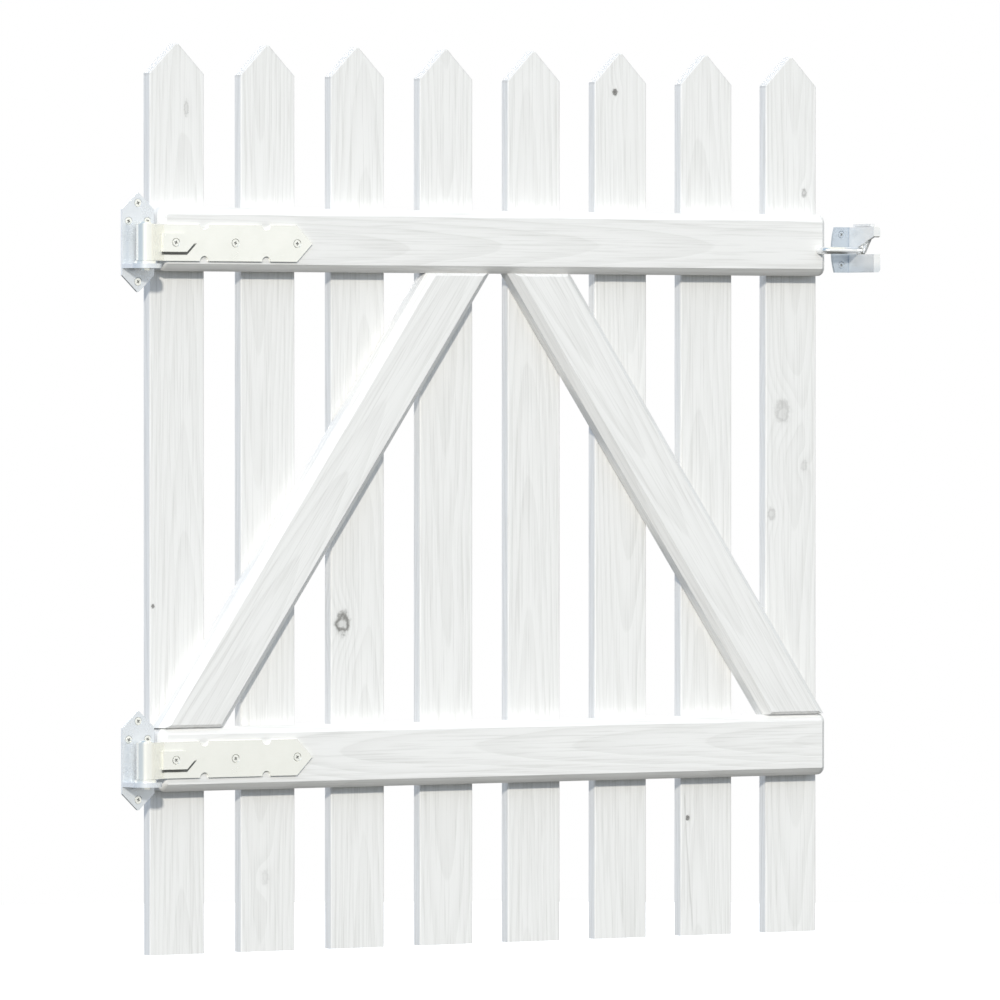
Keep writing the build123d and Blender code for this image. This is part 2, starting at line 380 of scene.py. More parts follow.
@dataclass(frozen=True)
class Knot:
    """One knot in a board, in the board's own coordinates."""

    across: float
    along: float
    radius: float = 0.006
    dark: float = 0.3
    stretch: float = 1.35
    heart: float = 0.55
    bulge_fade: ClassVar[float] = 0.42
    bulge_share: ClassVar[float] = 0.9
    cells: ClassVar[float] = 1.3
    cell_detail: ClassVar[float] = 3.0
    cell_rough: ClassVar[float] = 0.65
    ragged: ClassVar[float] = 1.3
    core_span: ClassVar[Span] = (0.2, 1.0)
    bark_middle: ClassVar[float] = 0.62
    bark_fade: ClassVar[float] = 3.2

    def distance(self, space: BoardSpace) -> Value:
        """Distance from the knot's middle.

        Args:
            space: Coordinates in the board.

        Returns:
            0 in the middle and 1 at the rim.
        """
        x = (space.across - self.across) / self.radius
        z = (space.along - self.along) / (self.radius * self.stretch)
        return (x * x + z * z).root()

    def bulge(self, near: Value) -> Value:
        """How far the rings bend round the knot, from the distance to its middle."""
        return (near * self.bulge_fade).falloff() * (self.radius * self.bulge_share)

    def mask(self, space: BoardSpace, near: Value) -> Value:
        """Heart and bark of the knot, with a ragged rim.

        Args:
            space: Coordinates in the board.
            near: Distance from the knot's middle.

        Returns:
            How dark the knot is.
        """
        cells = Noise(self.cells / self.radius, self.cell_detail, self.cell_rough)
        near = near + space.graph.wobble(space.local, cells) * self.ragged
        core = (1.0 - near.step(*self.core_span)) * self.heart
        bark = ((near - self.bark_middle) * self.bark_fade).falloff()
        return core.most(bark) * self.dark


@dataclass(frozen=True)
class Crack:
    """Hairline drying crack, in the board's own coordinates."""

    across: float
    top: float
    bottom: float
    lean: float
    width: float
    dark: float
    stray: ClassVar[float] = 0.010
    bottom_fade: ClassVar[float] = 0.02
    top_fade: ClassVar[float] = 0.01

    def mask(self, space: BoardSpace, rough: Value) -> Value:
        """Line of the crack.

        Args:
            space: Coordinates in the board.
            rough: Noise that the line strays by.

        Returns:
            How dark the crack is.
        """
        slant = (space.along - self.top) * self.lean
        line = space.across - self.across - slant + rough * self.stray
        start = space.along.step(self.bottom, self.bottom + self.bottom_fade)
        stop = 1.0 - space.along.step(self.top - self.top_fade, self.top)
        return (line / self.width).falloff() * (start * stop) * self.dark


@dataclass(frozen=True)
class Board:
    """Grain, marks and painted edge shade of one board; an edge or a peak of 0 means that it has none.
    """

    node: str
    turn: float = 0.0
    pith_side: float = 0.0
    pith_depth: float = 0.04
    taper: float = 0.025
    ring: float = 0.0042
    seed: float = 0.0
    knots: tuple[Knot, ...] = ()
    cracks: tuple[Crack, ...] = ()
    # Painted shade: darker towards a low edge from this place across the board, and near a point's
    # peak.
    low_edge: float = 0.0
    peak: float = 0.0

    def centre(self) -> Point:
        """Middle of the board's box."""
        low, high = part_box(self.node)
        return tuple((low + high) / 2)


@dataclass(frozen=True)
class PaintedTimber:
    """White paint on softwood whose grain still shows."""

    white: Colour = (0.905, 0.90, 0.885, 1.0)
    grain: Colour = (0.70, 0.695, 0.675, 1.0)
    # Colour of knots and cracks, also used for the painted shade on the rails' low edges and the picket
    # points.
    knot: Colour = (0.16, 0.155, 0.145, 1.0)
    roughness: float = 0.42
    fibre_roughness: float = 0.12

    sway_noise: Noise = Noise(2.2, 2.0)
    sway_side: float = 0.022
    sway_back: float = 0.016
    rough_noise: Noise = Noise(60.0, 3.0)
    rough_drawn: float = 0.12
    rough_ring: float = 0.0016

    ring_share: float = 0.27
    ring_rise: Span = (0.25, 0.9)
    ring_drop: Span = (0.93, 1.0)
    patch_noise: Noise = Noise(26.0, 2.0)
    patch_drawn: float = 0.3
    patch_least: float = 0.35
    fibre_noise: Noise = Noise(520.0, 3.0, 0.6)
    fibre_drawn: float = 0.022
    fibre_share: float = 0.48
    fibre_span: Span = (0.46, 0.72)

    # Painted shade: darker towards the rails' low edges and at the picket points.
    low_edge_shade_share: float = 0.33
    low_edge_shade_width: float = 0.0065
    point_shade_share: float = 0.13
    point_shade_start: float = 0.0036
    point_shade_full: float = 0.0018

    relief: float = 0.0005
    relief_strength: float = 0.35
    groove: float = 0.5

    def _radius(self, space: BoardSpace, board: Board, rough: Value) -> Value:
        """Distance from the tree's pith, which wanders along the board.

        Args:
            space: Coordinates in the board.
            board: The board's grain.
            rough: Noise that makes the rings uneven.

        Returns:
            The distance, before any knots bend the rings.
        """
        graph = space.graph
        sway = graph.wobble(graph.join(board.seed, 0.0, space.along), self.sway_noise)
        side = space.across - board.pith_side - sway * self.sway_side
        slope = space.along * board.taper
        back = space.depth - board.pith_depth - slope + sway * self.sway_back
        return (side * side + back * back).root() + rough * self.rough_ring

    def _painted_edge_shade(self, space: BoardSpace, board: Board) -> list[Value]:
        """Painted shade along a board's low edge and at its point.

        Args:
            space: Coordinates in the board.
            board: The board, with its low edge or its peak.

        Returns:
            How dark the painted shade is at each kind of edge.
        """
        made = []
        if board.low_edge > 0.0:
            low_shade = space.across.step(board.low_edge, board.low_edge + self.low_edge_shade_width)
            made.append(low_shade * self.low_edge_shade_share)
        if board.peak > 0.0:
            reach = (space.across * space.across).root() + space.along
            point_shade = reach.step(board.peak - self.point_shade_start, board.peak - self.point_shade_full)
            made.append(point_shade * self.point_shade_share)
        return made

    def material(self, board: Board) -> bpy.types.Material:
        """Paint for one board.

        Args:
            board: The board's grain and marks.

        Returns:
            Its material.
        """
        graph = Graph(f"paint_{board.node}")
        local = graph.placed(board.centre(), board.turn)
        space = BoardSpace(graph, local, *graph.parts(local), board.seed)
        rough = graph.wobble(space.drawn_out(self.rough_drawn), self.rough_noise)
        radius = self._radius(space, board, rough)
        marks = []
        for knot in board.knots:
            near = knot.distance(space)
            radius = radius + knot.bulge(near)
            marks.append(knot.mask(space, near))
        marks += [crack.mask(space, rough) for crack in board.cracks]
        # Painted shade along the rails' low edges and at the picket points joins the knots and cracks.
        marks += self._painted_edge_shade(space, board)
        phase = (radius / board.ring).fraction()
        late = phase.step(*self.ring_rise) * (1.0 - phase.step(*self.ring_drop))
        fibre = graph.noise(space.drawn_out(self.fibre_drawn), self.fibre_noise)
        patch = graph.noise(space.drawn_out(self.patch_drawn), self.patch_noise)
        rings = late * self.ring_share * (self.patch_least + patch)
        share = rings + fibre.step(*self.fibre_span) * self.fibre_share
        colour = graph.mix(share, self.white, self.grain)
        height = (1.0 - late * self.groove) - fibre * self.groove
        if marks:
            mark = functools.reduce(Value.most, marks)
            colour = graph.mix(mark, colour, self.knot)
            height = height - mark * self.groove
        return graph.surface(
            {
                "Base Color": colour,
                "Roughness": self.roughness + fibre * self.fibre_roughness,
                "Normal": graph.bump(height, self.relief_strength, self.relief),
            }
        )


@dataclass(frozen=True)
class TongueShadow:
    """Painted shadow: a thin dark line in the corner under a strap's tongue, where shade falls."""

    name: str
    height: float
    start: float = 0.0215
    end: float = 0.0645
    half: float = 0.0105
    width: float = 0.0034
    run: float = 0.0068
    uneven_by: float = 0.0006
    inner_span: Span = (-0.0004, 0.0002)
    outer_span: Span = (-0.0009, 0.0)
    start_fade: float = 0.002
    top_span: Span = (-0.0015, 0.0)
    share: float = 0.85

    def mask(self, x: Value, z: Value, uneven: Value) -> Value:
        """Where the painted shadow lies.

        Args:
            x: Distance along the strap.
            z: Height from the strap's middle.
            uneven: Noise that breaks the line's edge.

        Returns:
            Its full share in the corner, 0 away from it.
        """
        level = z + (uneven - Graph.NOISE_MEAN) * self.uneven_by
        inner = (x - self.end).most(-self.half) - level
        outer = (x - self.end - self.run).most(-self.half - self.width) - level
        band = inner.step(*self.inner_span) * (1.0 - outer.step(*self.outer_span))
        along = x.step(self.start, self.start + self.start_fade)
        return band * (along * (1.0 - z.step(*self.top_span))) * self.share


@dataclass(frozen=True)
class PlatedSteel:
    """Zinc plated steel with a faint rolled grain and cloudy patches.

    It can be darker behind a depth in front of Y = 0, and carry painted shade below a height; 0 means
    neither.
    """

    name: str
    bright: Colour
    dull_and_shade: Colour
    roughness: float
    cloud: float
    metallic: float
    dark_depth: float = 0.0
    cloud_share: float = 0.5
    shade_below: float = 0.0
    # Colour and roughness of the painted shadow under a strap's tongue.
    painted_shadow: ClassVar[Colour] = (0.13, 0.13, 0.11, 1.0)
    painted_shadow_roughness: ClassVar[float] = 0.4
    cloud_detail: ClassVar[float] = 4.0
    cloud_rough: ClassVar[float] = 0.6
    cloud_span: ClassVar[Span] = (0.35, 0.7)
    cloud_roughness: ClassVar[float] = 0.16
    rolled_noise: ClassVar[Noise] = Noise(900.0, 2.0)
    rolled_drawn: ClassVar[float] = 0.06
    rolled_span: ClassVar[Span] = (0.4, 0.75)
    rolled_share: ClassVar[float] = 0.3
    rolled_height: ClassVar[float] = 0.6
    speck_noise: ClassVar[Noise] = Noise(1400.0, 2.0)
    speck_height: ClassVar[float] = 0.4
    speck_roughness: ClassVar[float] = 0.05
    depth_reach: ClassVar[float] = 1.6
    depth_share: ClassVar[float] = 0.9
    below_fade: ClassVar[float] = 0.016
    below_share: ClassVar[float] = 0.5
    relief: ClassVar[float] = 0.0002
    relief_strength: ClassVar[float] = 0.12

    def _dullness_and_shade(self, y: Value, z: Value, cloud: Value, rolled: Value) -> Value:
        """Share of the darker colour: cloudy patches, the part behind a depth, and painted shade below
        a height.

        Args:
            y: Depth from the front.
            z: Height.
            cloud: Noise of the cloudy patches.
            rolled: Noise of the rolled grain.

        Returns:
            Share of the darker colour.
        """
        clouds = cloud.step(*self.cloud_span) * self.cloud_share
        share = clouds + rolled.step(*self.rolled_span) * self.rolled_share
        # Darker where the metal lies behind the given depth.
        if self.dark_depth > 0.0:
            front = y.step(-self.depth_reach * self.dark_depth, -self.dark_depth)
            share = share.most(front * self.depth_share)
        # Painted shade below a height, such as under the striker bar.
        if self.shade_below > 0.0:
            below = z.step(self.shade_below, self.shade_below - self.below_fade)
            share = share.most(below * self.below_share)
        return share

    def material(self, seam: TongueShadow | None = None) -> bpy.types.Material:
        """Plating, with a painted shadow line under the strap's tongue if one is given.

        Args:
            seam: Corner under the tongue where the shadow is painted.

        Returns:
            The material.
        """
        graph = Graph(self.name if seam is None else f"{self.name}_{seam.name}")
        local = graph.placed(ORIGIN if seam is None else (0.0, 0.0, seam.height))
        x, y, z = graph.parts(local)
        cloud = graph.noise(local, Noise(self.cloud, self.cloud_detail, self.cloud_rough))
        rolled = graph.noise(graph.join(x * self.rolled_drawn, y, z), self.rolled_noise)
        speck = graph.noise(local, self.speck_noise)
        colour = graph.mix(self._dullness_and_shade(y, z, cloud, rolled), self.bright, self.dull_and_shade)
        rough = self.roughness + cloud * self.cloud_roughness + speck * self.speck_roughness
        metallic: Operand = self.metallic
        # Painted shadow under the strap's tongue: dark, rougher and less metallic there.
        if seam is not None:
            shadow_share = seam.mask(x, z, cloud)
            colour = graph.mix(shadow_share, colour, self.painted_shadow)
            rough = rough + shadow_share * self.painted_shadow_roughness
            metallic = self.metallic - shadow_share * self.metallic
        height = rolled * self.rolled_height + speck * self.speck_height
        bump = graph.bump(height, self.relief_strength, self.relief)
        return graph.surface(
            {"Base Color": colour, "Roughness": rough, "Metallic": metallic, "Normal": bump}
        )


@dataclass(frozen=True)
class Cone:
    """Short cone of a screw head, in shares of the head's radius and height."""

    bottom: float
    top: float
    low: float
    high: float


class ScrewTree:
    """Geometry Nodes tree that sets a recessed screw head on each point."""

    INPUTS = (
        ("Head Radius", "NodeSocketFloat"),
        ("Head Height", "NodeSocketFloat"),
        ("Facing", "NodeSocketFloat"),
        ("Seed", "NodeSocketInt"),
        ("Finish", "NodeSocketMaterial"),
        ("Recess", "NodeSocketMaterial"),
    )
    SIDES = 24
    WELD = 0.00001
    RIM = Cone(bottom=0.6, top=1.0, low=0.0, high=0.85)
    CROWN = Cone(bottom=0.8, top=0.88, low=0.5, high=1.0)
    BAR_LENGTH = 0.95
    BAR_WIDTH = 0.32
    BAR_MIDDLE = 0.75
    FIRST_BAR_HEIGHT = 1.0
    SECOND_BAR_HEIGHT = 1.08
    RANDOM_MOST = 3
    RANDOM_FLOAT = 1

    def __init__(self) -> None:
        """Build the tree once."""
        self.tree = bpy.data.node_groups.new("screw_heads", "GeometryNodeTree")
        self.ids: dict[str, str] = {}
        face = self.tree.interface
        face.new_socket("Points", in_out="INPUT", socket_type="NodeSocketGeometry")
        for name, kind in self.INPUTS:
            made = face.new_socket(name, in_out="INPUT", socket_type=kind)
            self.ids[name] = made.identifier
        face.new_socket("Screws", in_out="OUTPUT", socket_type="NodeSocketGeometry")
        self.given = self.tree.nodes.new("NodeGroupInput").outputs
        self.radius = self.given["Head Radius"]
        self.height = self.given["Head Height"]
        self._grow()

    def _node(
        self, kind: str, settings: dict[str, Any] | None = None, **inputs: Any
    ) -> bpy.types.Node:
        """Add one node.

        Args:
            kind: Blender's name of the node type.
            settings: Properties set first.
            inputs: Sockets by name, with underscores for spaces, as values or output sockets.

        Returns:
            The node.
        """
        made = self.tree.nodes.new(kind)
        for key, setting in (settings or {}).items():
            setattr(made, key, setting)
        for key, given in inputs.items():
            socket = made.inputs[key.replace("_", " ")]
            if isinstance(given, bpy.types.NodeSocket):
                self.tree.links.new(given, socket)
            else:
                socket.default_value = given
        return made

    def _times(self, first: bpy.types.NodeSocket, number: float) -> bpy.types.NodeSocket:
        """A socket's value times a number.

        Args:
            first: The socket.
            number: The number.

        Returns:
            Their product.
        """
        made = self._node("ShaderNodeMath", {"operation": "MULTIPLY"})
        self.tree.links.new(first, made.inputs[0])
        made.inputs[1].default_value = number
        return made.outputs[0]

    def _vector(self, x: Any = 0.0, y: Any = 0.0, z: Any = 0.0) -> bpy.types.NodeSocket:
        """A vector of three values or sockets."""
        return self._node("ShaderNodeCombineXYZ", None, X=x, Y=y, Z=z).outputs[0]

    def _raised(self, mesh: bpy.types.NodeSocket, share: float) -> bpy.types.NodeSocket:
        """A mesh lifted by a share of the head's height.

        Args:
            mesh: The mesh.
            share: The share.

        Returns:
            The lifted mesh.
        """
        lift = self._vector(z=self._times(self.height, share))
        moved = self._node("GeometryNodeTransform", None, Geometry=mesh, Translation=lift)
        return moved.outputs[0]

    def _disc(self, cone: Cone) -> bpy.types.NodeSocket:
        """A short cone of the head.

        Args:
            cone: Its shares of the head.

        Returns:
            The cone's mesh.
        """
        made = self._node(
            "GeometryNodeMeshCone",
            None,
            Vertices=self.SIDES,
            Radius_Bottom=self._times(self.radius, cone.bottom),
            Radius_Top=self._times(self.radius, cone.top),
            Depth=self._times(self.height, cone.high - cone.low),
        )
        return self._raised(made.outputs["Mesh"], cone.low)

    def _bar(self, length: float, width: float, tall: float) -> bpy.types.NodeSocket:
        """One bar of the cross that the recess is cut with.

        Args:
            length: Size in X as a share of the head's radius.
            width: Size in Y as a share of the head's radius.
            tall: Size in Z as a share of the head's height.

        Returns:
            The bar's mesh.
        """
        size = self._vector(
            self._times(self.radius, length),
            self._times(self.radius, width),
            self._times(self.height, tall),
        )
        made = self._node("GeometryNodeMeshCube", None, Size=size)
        return self._raised(made.outputs["Mesh"], self.BAR_MIDDLE)

    def _union(
        self, pieces: Iterable[bpy.types.NodeSocket], finish: bpy.types.NodeSocket
    ) -> bpy.types.NodeSocket:
        """Join meshes to one solid.

        Args:
            pieces: The meshes.
            finish: Material of the solid.

        Returns:
            The solid.
        """
        joined = self._node("GeometryNodeMeshBoolean", {"operation": "UNION"})
        for piece in pieces:
            self.tree.links.new(piece, joined.inputs[1])
        dressed = self._node(
            "GeometryNodeSetMaterial", None, Geometry=joined.outputs["Mesh"], Material=finish
        )
        return dressed.outputs[0]

    def _head(self) -> bpy.types.NodeSocket:
        """Countersunk head with a cross recess.

        Returns:
            The head's mesh, closed.
        """
        body = self._union((self._disc(self.RIM), self._disc(self.CROWN)), self.given["Finish"])
        bars = (
            self._bar(self.BAR_LENGTH, self.BAR_WIDTH, self.FIRST_BAR_HEIGHT),
            self._bar(self.BAR_WIDTH, self.BAR_LENGTH, self.SECOND_BAR_HEIGHT),
        )
        cross = self._union(bars, self.given["Recess"])
        cut = self._node("GeometryNodeMeshBoolean", {"operation": "DIFFERENCE"})
        self.tree.links.new(body, cut.inputs[0])
        self.tree.links.new(cross, cut.inputs[1])
        welded = self._node(
            "GeometryNodeMergeByDistance", None, Geometry=cut.outputs["Mesh"], Distance=self.WELD
        )
        return welded.outputs[0]

    def _grow(self) -> None:
        """Set a head on every point, each with its own turn, and realize them."""
        placed = self._node(
            "GeometryNodeInstanceOnPoints",
            None,
            Points=self.given["Points"],
            Instance=self._head(),
            Rotation=self._vector(x=self.given["Facing"]),
        )
        spin = self._node("FunctionNodeRandomValue", {"data_type": "FLOAT"}, Seed=self.given["Seed"])
        spin.inputs[self.RANDOM_MOST].default_value = math.pi
        turned = self._node(
            "GeometryNodeRotateInstances",
            None,
            Instances=placed.outputs[0],
            Rotation=self._vector(z=spin.outputs[self.RANDOM_FLOAT]),
        )
        solid = self._node("GeometryNodeRealizeInstances", None, Geometry=turned.outputs[0])
        heads = self._node("GeometryNodeMaterialSelection", None, Material=self.given["Finish"])
        finished = self._node(
            "GeometryNodeSetMaterial",
            None,
            Geometry=solid.outputs[0],
            Selection=heads.outputs[0],
            Material=self.given["Finish"],
        )
        result = self.tree.nodes.new("NodeGroupOutput")
        self.tree.links.new(finished.outputs[0], result.inputs[0])


@dataclass
class ScrewSet:
    """Screws of one piece: where they sit, how large they are and what they ride on.

    They face the front, which is a quarter turn about X from straight up.
    """

    name: str
    places: list[Point]
    body: Body
    slot: Slot
    seed: int
    head_radius: float = 0.0042
    head_height: float = 0.0018
    facing: float = math.pi / 2

    def build(
        self, tree: ScrewTree, finish: bpy.types.Material, recess: bpy.types.Material
    ) -> None:
        """Make the screws as one plain mesh that rides on its body.

        Args:
            tree: The Geometry Nodes tree.
            finish: Material of the heads.
            recess: Material of the cross recesses.
        """
        points = bpy.data.meshes.new(f"{self.name}_points")
        points.from_pydata(self.places, [], [])
        carrier = bpy.data.objects.new(f"{self.name}_carrier", points)
        bpy.context.scene.collection.objects.link(carrier)
        modifier = carrier.modifiers.new("screws", "NODES")
        modifier.node_group = tree.tree
        values = {
            "Head Radius": self.head_radius,
            "Head Height": self.head_height,
            "Facing": self.facing,
            "Seed": self.seed,
            "Finish": finish,
            "Recess": recess,
        }
        for name, value in values.items():
            modifier[tree.ids[name]] = value
        graph = bpy.context.evaluated_depsgraph_get()
        mesh = bpy.data.meshes.new_from_object(carrier.evaluated_get(graph))
        mesh.name = self.name
        carrier.modifiers.remove(modifier)
        bpy.data.objects.remove(carrier)
        piece = bpy.data.objects.new(self.name, mesh)
        bpy.context.scene.collection.objects.link(piece)
        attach(piece, self.body.value)
        LOG.info("%s: %d screws, %d faces", self.name, len(self.places), len(mesh.polygons))


def dress_node(name: str, finish: bpy.types.Material) -> None:
    """Give a CAD node one material.

    Args:
        name: Name of the node.
        finish: The material.
    """
    mesh = frame["nodes"][name].data
    mesh.materials.clear()
    mesh.materials.append(finish)
    LOG.info("%s dressed with %s", name, finish.name)


def mount(name: str) -> dict[str, Any]:
    """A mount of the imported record, by name."""
    return next(m for m in frame["record"]["mounts"] if m["name"] == name)


def half_spacing(place: dict[str, Any], axis: str) -> float:
    """Half the distance between a mount's holes, along its x or y."""
    return place["dims"][f"spacing_{axis}_mm"] / 2 / MM_PER_M


@dataclass
class TimberLeaf:
    """Pickets, rails and braces."""

    paint: PaintedTimber = PaintedTimber()
    picket_count: int = 8
    picket_tip_flat: float = 0.004
    picket_seed: float = 3.7
    picket_taper: float = 0.028
    pith_swing: float = 0.012
    pith_swing_turn: float = 2.4
    pith_depth: float = 0.034
    pith_depth_swing: float = 0.008
    pith_depth_turn: float = 1.7
    # Where the painted shade along each rail's low edge begins.
    rail_low_edge: float = 0.029
    brace_lean_share: float = 0.8
    picket_knots: dict[int, tuple[Knot, ...]] = field(
        default_factory=lambda: {
            1: (
                Knot(across=0.012, along=0.429, radius=0.0032, stretch=3.0),
                Knot(across=-0.031, along=-0.117, radius=0.0022, dark=0.9, stretch=1.2, heart=1.0),
            ),
            2: (Knot(across=-0.004, along=-0.418, radius=0.005, dark=0.16, stretch=1.8),),
            3: (Knot(across=-0.020, along=-0.139, radius=0.0105, dark=0.85, heart=0.25),),
            6: (Knot(across=-0.008, along=0.456, radius=0.0036, dark=0.95, stretch=1.2, heart=1.0),),
            7: (Knot(across=-0.0256, along=-0.366, radius=0.0032, dark=0.95, stretch=1.1, heart=1.0),),
            8: (
                Knot(across=-0.012, along=0.095, radius=0.011),
                Knot(across=0.018, along=0.033, radius=0.005, dark=0.2),
                Knot(across=-0.027, along=-0.022),
                Knot(across=0.018, along=0.345, radius=0.004, dark=0.5),
            ),
        }
    )
    picket_cracks: dict[int, tuple[Crack, ...]] = field(
        default_factory=lambda: {
            7: (
                Crack(across=-0.031, top=-0.335, bottom=-0.505, lean=-0.072, width=0.0009, dark=0.25),
            ),
        }
    )

    def picket(self, index: int) -> Board:
        """One picket with its own grain.

        Args:
            index: Its number, from 1 at the hinges.

        Returns:
            The board; its peak is where the slopes of its point would meet, above its middle.
        """
        node = f"picket_{index}"
        low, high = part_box(node)
        return Board(
            node,
            pith_side=self.pith_swing * math.sin(index * self.pith_swing_turn),
            pith_depth=self.pith_depth + self.pith_depth_swing * math.cos(index * self.pith_depth_turn),
            taper=self.picket_taper * (1 if index % 2 else -1),
            seed=index * self.picket_seed,
            knots=self.picket_knots.get(index, ()),
            cracks=self.picket_cracks.get(index, ()),
            # The peak sets where painted shade darkens the picket's point.
            peak=(high.z - low.z + self.picket_tip_flat) / 2,
        )

    def rails(self) -> list[Board]:
        """The two rails, whose grain lies level.

        Returns:
            The upper and the lower rail.
        """
        upper = Board(
            "upper_rail", turn=math.pi / 2, pith_side=0.006, pith_depth=0.038, taper=0.022,
            seed=41.0, low_edge=self.rail_low_edge,
        )
        lower = Board(
            "lower_rail", turn=math.pi / 2, pith_side=-0.008, pith_depth=0.034, taper=-0.026,
            seed=47.0, low_edge=self.rail_low_edge,
        )
        return [upper, lower]

    def braces(self) -> list[Board]:
        """The two braces, whose grain leans with them.

        Returns:
            The left and the right brace.
        """
        low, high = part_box("left_brace")
        lean = math.atan2((high.x - low.x) * self.brace_lean_share, high.z - low.z)
        left = Board(
            "left_brace", turn=lean, pith_side=0.004, pith_depth=0.036, taper=0.03, seed=53.0
        )
        right = Board(
            "right_brace", turn=-lean, pith_side=-0.006, pith_depth=0.036, taper=-0.028, seed=59.0
        )
        return [left, right]

    def dress(self) -> None:
        """Paint every board."""
        pickets = [self.picket(index) for index in range(1, self.picket_count + 1)]
        for board in pickets + self.rails() + self.braces():
            dress_node(board.node, self.paint.material(board))


@dataclass
class Ironwork:
    """Hinges, striker bar and catch with their screws."""

    hinge: PlatedSteel = PlatedSteel(
        "hinge_plating",
        bright=(0.99, 0.99, 0.955, 1.0),
        dull_and_shade=(0.95, 0.955, 0.915, 1.0),
        roughness=0.13,
        cloud=55.0,
        metallic=0.72,
    )
    plate: PlatedSteel = PlatedSteel(
        "plate_plating",
        bright=(0.82, 0.85, 0.89, 1.0),
        dull_and_shade=(0.74, 0.775, 0.82, 1.0),
        roughness=0.16,
        cloud=55.0,
        metallic=0.4,
    )
    latch: PlatedSteel = PlatedSteel(
        "latch_plating",
        bright=(0.98, 0.975, 0.965, 1.0),
        # Darker colour for cloudy patches and for the painted shade below the bar.
        dull_and_shade=(0.53, 0.60, 0.68, 1.0),
        roughness=0.12,
        cloud=60.0,
        metallic=0.4,
        # Darker behind a plane 3.4 mm in front of Y = 0.
        dark_depth=0.0034,
        cloud_share=0.14,
        # Painted shade below the striker bar's height.
        shade_below=0.556,
    )
    bar: PlatedSteel = PlatedSteel(
        "bar_plating",
        bright=(0.94, 0.945, 0.95, 1.0),
        dull_and_shade=(0.82, 0.85, 0.88, 1.0),
        roughness=0.12,
        cloud=60.0,
        metallic=0.85,
    )
    dog: PlatedSteel = PlatedSteel(
        "dog_plating",
        bright=(0.90, 0.905, 0.91, 1.0),
        dull_and_shade=(0.80, 0.82, 0.84, 1.0),
        roughness=0.16,
        cloud=60.0,
        metallic=0.3,
    )
    recess: PlatedSteel = PlatedSteel(
        "recess_shade",
        bright=(0.40, 0.405, 0.39, 1.0),
        dull_and_shade=(0.28, 0.285, 0.275, 1.0),
        roughness=0.5,
        cloud=300.0,
        metallic=0.2,
    )
    plate_face: float = -0.003
    strap_face: float = -0.011
    tongue_face: float = -0.017
    sunk: float = 0.0019
    strap_first: float = 0.040
    strap_margin: float = 0.0195
    strap_count: int = 3
    catch_head_radius: float = 0.0037
    plate_seed: int = 3
    strap_seed: int = 13
    catch_seed: int = 21

    def plate_screws(self, level: str) -> list[Point]:
        """Places of one hinge plate's four screws.

        Args:
            level: Which hinge, lower or upper.

        Returns:
            The two at its ends, then the pair beside the lug.
        """
        ends = mount(f"{level}_hinge_end_screws")
        pair = mount(f"{level}_hinge_pair_screws")
        rise = half_spacing(ends, "y")
        side = half_spacing(pair, "x")
        y = self.plate_face + self.sunk
        x, _, z = ends["pos_m"]
        places = [(x, y, z - rise), (x, y, z + rise)]
        x, _, z = pair["pos_m"]
        places += [(x - side, y, z), (x + side, y, z)]
        return places

    def strap_screws(self, level: str) -> list[Point]:
        """Places of one strap's screws.

        Args:
            level: Which hinge, lower or upper.

        Returns:
            The places from the pin outwards; the first sits on the tongue.
        """
        z = mount(f"{level}_hinge_face")["pos_m"][2]
        _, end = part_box(f"{level}_hinge_strap")
        pitch = (end.x - self.strap_margin - self.strap_first) / (self.strap_count - 1)
        faces = [self.tongue_face] + [self.strap_face] * (self.strap_count - 1)
        return [(self.strap_first + pitch * step, y + self.sunk, z) for step, y in enumerate(faces)]

    def catch_screws(self) -> list[Point]:
        """Places of the catch's two screws.

        Returns:
            The lower and the upper place.
        """
        place = mount("catch_screws")
        rise = half_spacing(place, "y")
        x, _, z = place["pos_m"]
        y = self.plate_face + self.sunk
        return [(x, y, z - rise), (x, y, z + rise)]

    def dress(self, tree: ScrewTree) -> None:
        """Plate every metal node and set the screws.

        Args:
            tree: The Geometry Nodes tree of the screws.
        """
        hinge = self.hinge.material()
        plate = self.plate.material()
        latch = self.latch.material()
        recess = self.recess.material()
        by_slot = {Slot.HINGE.value: hinge, Slot.LATCH.value: latch}
        finishes = {
            row["node"]: by_slot[row["material_slot"]]
            for row in frame["record"]["subparts"]
            if row["material_slot"] in by_slot
        }
        finishes["latch_dog"] = self.dog.material()
        finishes["striker_bar"] = self.bar.material()
        for level in LEVELS:
            # Each strap gets a painted shadow line under its tongue.
            seam = TongueShadow(level, mount(f"{level}_hinge_face")["pos_m"][2])
            finishes[f"{level}_hinge_strap"] = self.hinge.material(seam)
            finishes[f"{level}_hinge_plate"] = plate
        for node, finish in finishes.items():
            dress_node(node, finish)
        for step, level in enumerate(LEVELS):
            ScrewSet(
                f"{level}_plate_screws", self.plate_screws(level),
                Body.POSTS, Slot.HINGE, self.plate_seed + step,
            ).build(tree, hinge, recess)
            ScrewSet(
                f"{level}_strap_screws", self.strap_screws(level),
                Body.LEAF, Slot.HINGE, self.strap_seed + step,
            ).build(tree, hinge, recess)
        ScrewSet(
            "catch_screws", self.catch_screws(), Body.POSTS, Slot.LATCH, self.catch_seed,
            head_radius=self.catch_head_radius,
        ).build(tree, latch, recess)


